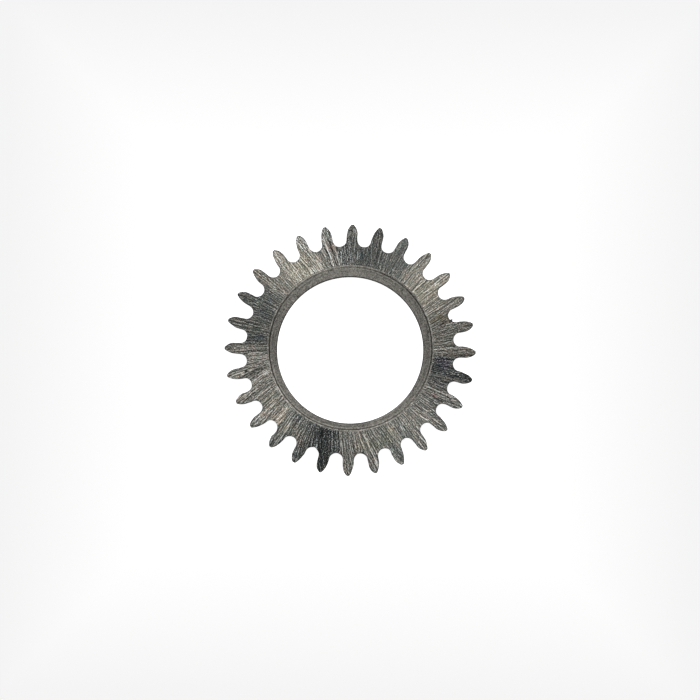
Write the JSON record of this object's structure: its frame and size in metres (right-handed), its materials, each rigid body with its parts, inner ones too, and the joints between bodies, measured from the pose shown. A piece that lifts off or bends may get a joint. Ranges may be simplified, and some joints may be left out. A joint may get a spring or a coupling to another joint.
{
  "type": "watch crown wheel",
  "caption": "Flat steel ring gear of a watch's winding work, with pointed leaning teeth, a radially brushed face, a plain bore and a shallow recess round the bore.",
  "frame": {"origin": "centre of the bore on the underside", "axes": "+Z along the bore, out of the brushed face with the recess; +X and +Y each along the middle of a tooth"},
  "size_m": [0.005, 0.005, 0.0004],
  "materials": {
    "steel": "radially brushed upper face, turned ledge, cut flanks"
  },
  "bodies": {
    "root": {"crown_wheel": "steel"}
  },
  "joints": []
}
